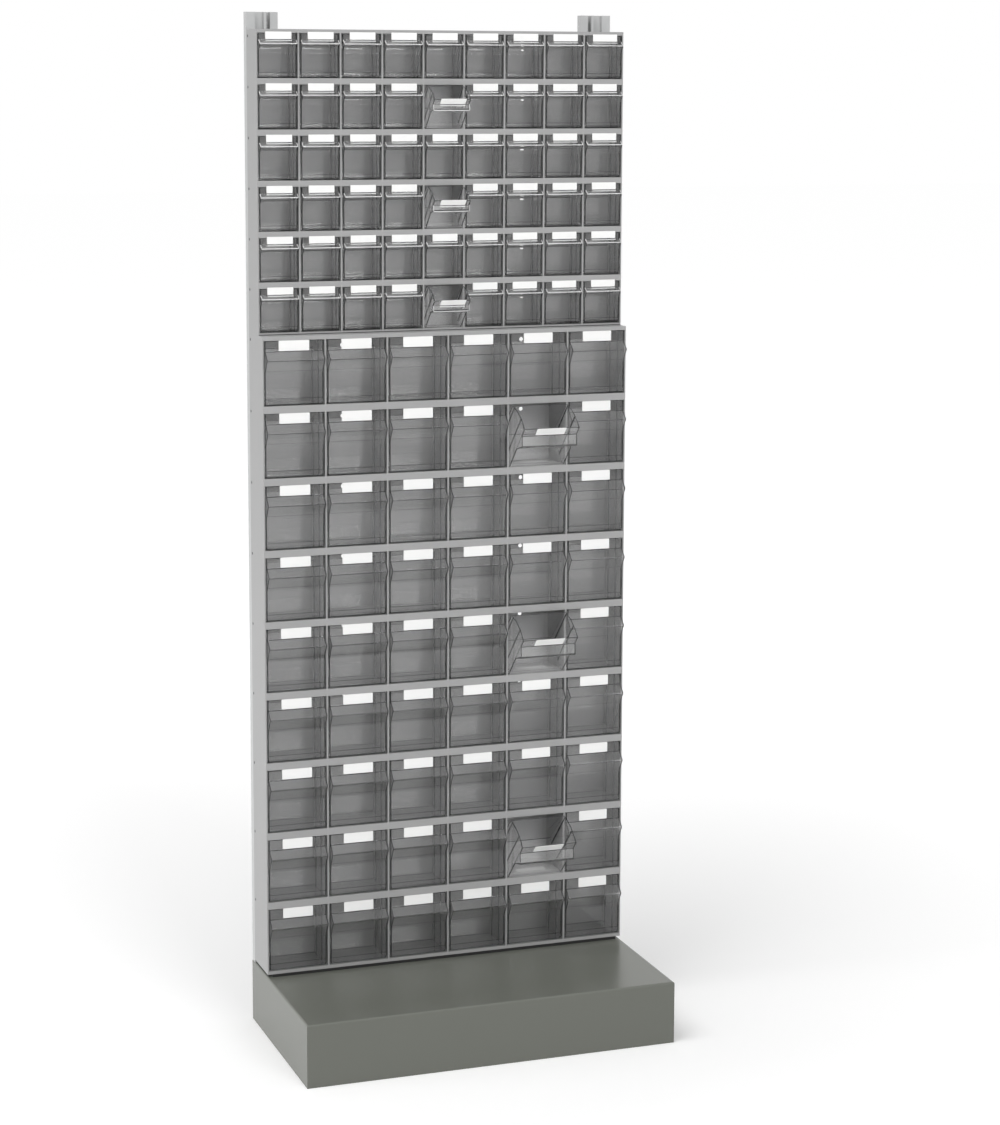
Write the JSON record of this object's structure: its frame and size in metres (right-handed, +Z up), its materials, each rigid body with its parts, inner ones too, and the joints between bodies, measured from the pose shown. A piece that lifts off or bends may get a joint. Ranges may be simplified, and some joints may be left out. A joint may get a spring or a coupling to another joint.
{
  "type": "tip-out bin storage rack",
  "caption": "Free-standing storage rack of clear tip-out bins in stacked grey casings, held on uprights over a low steel plinth.",
  "frame": {"origin": "on the floor under the centre of the plinth", "axes": "+Z up, -Y towards the front where the bins tip out, +X to the right seen from the front"},
  "size_m": [0.6, 0.326, 1.6077],
  "materials": {
    "casing_plastic": "satin",
    "clear_plastic": "clear",
    "upright_metal": "satin",
    "plinth_paint": "satin"
  },
  "bodies": {
    "frame": {"plinth": "plinth_paint", "post_left": "upright_metal", "post_right": "upright_metal", "small_casing_1": "casing_plastic", "small_casing_2": "casing_plastic", "small_casing_3": "casing_plastic", "small_casing_4": "casing_plastic", "small_casing_5": "casing_plastic", "small_casing_6": "casing_plastic", "medium_casing_1": "casing_plastic", "medium_casing_2": "casing_plastic", "medium_casing_3": "casing_plastic", "medium_casing_4": "casing_plastic", "medium_casing_5": "casing_plastic", "medium_casing_6": "casing_plastic", "medium_casing_7": "casing_plastic", "medium_casing_8": "casing_plastic", "medium_casing_9": "casing_plastic"},
    "small_bin_1": {"small_bin_1": "clear_plastic"},
    "small_row_bins_1": {"small_row_bins_1": "clear_plastic"},
    "small_bin_2": {"small_bin_2": "clear_plastic"},
    "small_row_bins_2": {"small_row_bins_2": "clear_plastic"},
    "small_bin_3": {"small_bin_3": "clear_plastic"},
    "small_row_bins_3": {"small_row_bins_3": "clear_plastic"},
    "small_bin_4": {"small_bin_4": "clear_plastic"},
    "small_row_bins_4": {"small_row_bins_4": "clear_plastic"},
    "small_bin_5": {"small_bin_5": "clear_plastic"},
    "small_row_bins_5": {"small_row_bins_5": "clear_plastic"},
    "small_bin_6": {"small_bin_6": "clear_plastic"},
    "small_row_bins_6": {"small_row_bins_6": "clear_plastic"},
    "medium_bin_1": {"medium_bin_1": "clear_plastic"},
    "medium_row_bins_1": {"medium_row_bins_1": "clear_plastic"},
    "medium_bin_2": {"medium_bin_2": "clear_plastic"},
    "medium_row_bins_2": {"medium_row_bins_2": "clear_plastic"},
    "medium_bin_3": {"medium_bin_3": "clear_plastic"},
    "medium_row_bins_3": {"medium_row_bins_3": "clear_plastic"},
    "medium_bin_4": {"medium_bin_4": "clear_plastic"},
    "medium_row_bins_4": {"medium_row_bins_4": "clear_plastic"},
    "medium_bin_5": {"medium_bin_5": "clear_plastic"},
    "medium_row_bins_5": {"medium_row_bins_5": "clear_plastic"},
    "medium_bin_6": {"medium_bin_6": "clear_plastic"},
    "medium_row_bins_6": {"medium_row_bins_6": "clear_plastic"},
    "medium_bin_7": {"medium_bin_7": "clear_plastic"},
    "medium_row_bins_7": {"medium_row_bins_7": "clear_plastic"},
    "medium_bin_8": {"medium_bin_8": "clear_plastic"},
    "medium_row_bins_8": {"medium_row_bins_8": "clear_plastic"},
    "medium_bin_9": {"medium_bin_9": "clear_plastic"},
    "medium_row_bins_9": {"medium_row_bins_9": "clear_plastic"}
  },
  "joints": [
    {"name": "small_bin_1_tip", "type": "hinge", "parent": "frame", "child": "small_bin_1", "pos_m": [0, 0.0926, 1.5121], "axis": [1, 0, 0], "range_deg": [0, 45]},
    {"name": "small_row_bins_1_tip", "type": "hinge", "parent": "frame", "child": "small_row_bins_1", "pos_m": [0, 0.0926, 1.5121], "axis": [1, 0, 0], "range_deg": [0, 45]},
    {"name": "small_bin_2_tip", "type": "hinge", "parent": "frame", "child": "small_bin_2", "pos_m": [0, 0.0926, 1.4345], "axis": [1, 0, 0], "range_deg": [-45, 0]},
    {"name": "small_row_bins_2_tip", "type": "hinge", "parent": "frame", "child": "small_row_bins_2", "pos_m": [0, 0.0926, 1.4345], "axis": [1, 0, 0], "range_deg": [0, 45]},
    {"name": "small_bin_3_tip", "type": "hinge", "parent": "frame", "child": "small_bin_3", "pos_m": [0, 0.0926, 1.3569], "axis": [1, 0, 0], "range_deg": [0, 45]},
    {"name": "small_row_bins_3_tip", "type": "hinge", "parent": "frame", "child": "small_row_bins_3", "pos_m": [0, 0.0926, 1.3569], "axis": [1, 0, 0], "range_deg": [0, 45]},
    {"name": "small_bin_4_tip", "type": "hinge", "parent": "frame", "child": "small_bin_4", "pos_m": [0, 0.0926, 1.2793], "axis": [1, 0, 0], "range_deg": [-45, 0]},
    {"name": "small_row_bins_4_tip", "type": "hinge", "parent": "frame", "child": "small_row_bins_4", "pos_m": [0, 0.0926, 1.2793], "axis": [1, 0, 0], "range_deg": [0, 45]},
    {"name": "small_bin_5_tip", "type": "hinge", "parent": "frame", "child": "small_bin_5", "pos_m": [0, 0.0926, 1.2017], "axis": [1, 0, 0], "range_deg": [0, 45]},
    {"name": "small_row_bins_5_tip", "type": "hinge", "parent": "frame", "child": "small_row_bins_5", "pos_m": [0, 0.0926, 1.2017], "axis": [1, 0, 0], "range_deg": [0, 45]},
    {"name": "small_bin_6_tip", "type": "hinge", "parent": "frame", "child": "small_bin_6", "pos_m": [0, 0.0926, 1.1241], "axis": [1, 0, 0], "range_deg": [-45, 0]},
    {"name": "small_row_bins_6_tip", "type": "hinge", "parent": "frame", "child": "small_row_bins_6", "pos_m": [0, 0.0926, 1.1241], "axis": [1, 0, 0], "range_deg": [0, 45]},
    {"name": "medium_bin_1_tip", "type": "hinge", "parent": "frame", "child": "medium_bin_1", "pos_m": [0.15, 0.0714, 1.0145], "axis": [1, 0, 0], "range_deg": [0, 45]},
    {"name": "medium_row_bins_1_tip", "type": "hinge", "parent": "frame", "child": "medium_row_bins_1", "pos_m": [0, 0.0714, 1.0145], "axis": [1, 0, 0], "range_deg": [0, 45]},
    {"name": "medium_bin_2_tip", "type": "hinge", "parent": "frame", "child": "medium_bin_2", "pos_m": [0.15, 0.0714, 0.9021], "axis": [1, 0, 0], "range_deg": [-45, 0]},
    {"name": "medium_row_bins_2_tip", "type": "hinge", "parent": "frame", "child": "medium_row_bins_2", "pos_m": [0, 0.0714, 0.9021], "axis": [1, 0, 0], "range_deg": [0, 45]},
    {"name": "medium_bin_3_tip", "type": "hinge", "parent": "frame", "child": "medium_bin_3", "pos_m": [0.15, 0.0714, 0.7897], "axis": [1, 0, 0], "range_deg": [0, 45]},
    {"name": "medium_row_bins_3_tip", "type": "hinge", "parent": "frame", "child": "medium_row_bins_3", "pos_m": [0, 0.0714, 0.7897], "axis": [1, 0, 0], "range_deg": [0, 45]},
    {"name": "medium_bin_4_tip", "type": "hinge", "parent": "frame", "child": "medium_bin_4", "pos_m": [0.15, 0.0714, 0.6773], "axis": [1, 0, 0], "range_deg": [0, 45]},
    {"name": "medium_row_bins_4_tip", "type": "hinge", "parent": "frame", "child": "medium_row_bins_4", "pos_m": [0, 0.0714, 0.6773], "axis": [1, 0, 0], "range_deg": [0, 45]},
    {"name": "medium_bin_5_tip", "type": "hinge", "parent": "frame", "child": "medium_bin_5", "pos_m": [0.15, 0.0714, 0.5649], "axis": [1, 0, 0], "range_deg": [-45, 0]},
    {"name": "medium_row_bins_5_tip", "type": "hinge", "parent": "frame", "child": "medium_row_bins_5", "pos_m": [0, 0.0714, 0.5649], "axis": [1, 0, 0], "range_deg": [0, 45]},
    {"name": "medium_bin_6_tip", "type": "hinge", "parent": "frame", "child": "medium_bin_6", "pos_m": [0.15, 0.0714, 0.4525], "axis": [1, 0, 0], "range_deg": [0, 45]},
    {"name": "medium_row_bins_6_tip", "type": "hinge", "parent": "frame", "child": "medium_row_bins_6", "pos_m": [0, 0.0714, 0.4525], "axis": [1, 0, 0], "range_deg": [0, 45]},
    {"name": "medium_bin_7_tip", "type": "hinge", "parent": "frame", "child": "medium_bin_7", "pos_m": [0.15, 0.0714, 0.3401], "axis": [1, 0, 0], "range_deg": [0, 45]},
    {"name": "medium_row_bins_7_tip", "type": "hinge", "parent": "frame", "child": "medium_row_bins_7", "pos_m": [0, 0.0714, 0.3401], "axis": [1, 0, 0], "range_deg": [0, 45]},
    {"name": "medium_bin_8_tip", "type": "hinge", "parent": "frame", "child": "medium_bin_8", "pos_m": [0.15, 0.0714, 0.2277], "axis": [1, 0, 0], "range_deg": [-45, 0]},
    {"name": "medium_row_bins_8_tip", "type": "hinge", "parent": "frame", "child": "medium_row_bins_8", "pos_m": [0, 0.0714, 0.2277], "axis": [1, 0, 0], "range_deg": [0, 45]},
    {"name": "medium_bin_9_tip", "type": "hinge", "parent": "frame", "child": "medium_bin_9", "pos_m": [0.15, 0.0714, 0.1153], "axis": [1, 0, 0], "range_deg": [0, 45]},
    {"name": "medium_row_bins_9_tip", "type": "hinge", "parent": "frame", "child": "medium_row_bins_9", "pos_m": [0, 0.0714, 0.1153], "axis": [1, 0, 0], "range_deg": [0, 45]}
  ]
}
